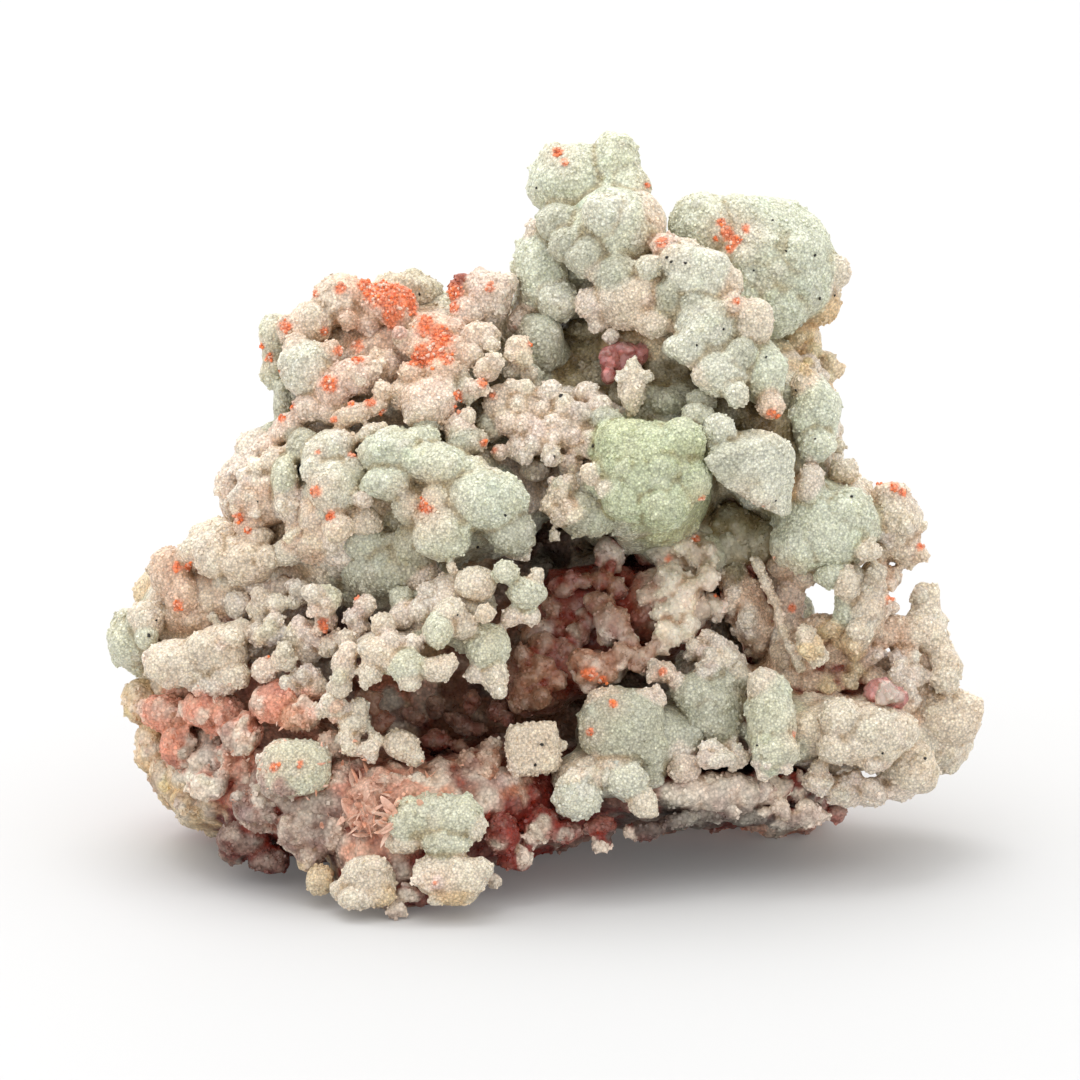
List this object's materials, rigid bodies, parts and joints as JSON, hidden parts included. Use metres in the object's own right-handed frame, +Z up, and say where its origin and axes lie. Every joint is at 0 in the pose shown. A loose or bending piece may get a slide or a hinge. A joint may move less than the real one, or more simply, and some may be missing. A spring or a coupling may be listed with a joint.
{
  "type": "boracite with hilgardite mineral specimen",
  "caption": "Free-standing mineral specimen: knobbly pale green boracite crystals with rose hilgardite on a rusty rock matrix with caves.",
  "frame": {"origin": "middle of the footprint's bounding box, on the surface that the specimen rests on", "axes": "+Z up; +X to the right of a viewer who faces the display side; +Y away from that viewer"},
  "size_m": [0.0702, 0.0467, 0.0566],
  "materials": {
    "boracite": "sugary, slightly translucent pale green and cream",
    "hilgardite": "glassy rose pink",
    "matrix_rock": "matt red-brown and grey rock",
    "rusty_druse": "small rusty and cream globules, slightly glossy"
  },
  "bodies": {
    "root": {"boracite_cluster": "boracite", "boracite_front_knobs": "boracite", "boracite_left_block": "boracite", "boracite_cube": "boracite", "hilgardite_crystals": "hilgardite", "hilgardite_right": "hilgardite", "matrix": "matrix_rock", "cavity_druse": "rusty_druse"}
  },
  "joints": []
}
